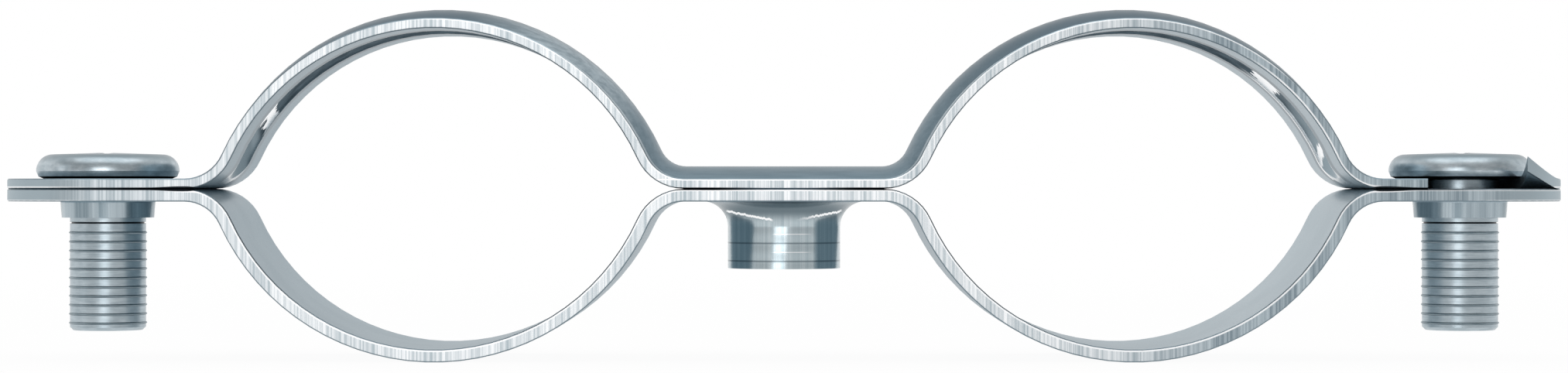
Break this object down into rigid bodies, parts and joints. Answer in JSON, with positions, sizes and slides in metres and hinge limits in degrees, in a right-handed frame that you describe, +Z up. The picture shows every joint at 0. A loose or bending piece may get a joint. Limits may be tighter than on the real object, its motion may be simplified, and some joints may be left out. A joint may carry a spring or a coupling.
{
  "type": "pipe clamp",
  "caption": "Double spacer clamp for pipes: formed steel bands with a pressed bead, closed by pan-head screws, on a threaded boss.",
  "frame": {"origin": "centre of the mouth of the threaded boss under the clamp", "axes": "+X along the clamp over both rings, +Y along the pipes, +Z up, from the boss towards the upper band"},
  "size_m": [0.1242, 0.016, 0.0279],
  "materials": {
    "band_steel": "electro-galvanised sheet steel, satin",
    "screw_steel": "zinc-plated screw steel, slightly darker and smoother"
  },
  "bodies": {
    "root": {"lower_band": "band_steel", "upper_band": "band_steel", "left_screw": "screw_steel", "right_screw": "screw_steel"}
  },
  "joints": []
}
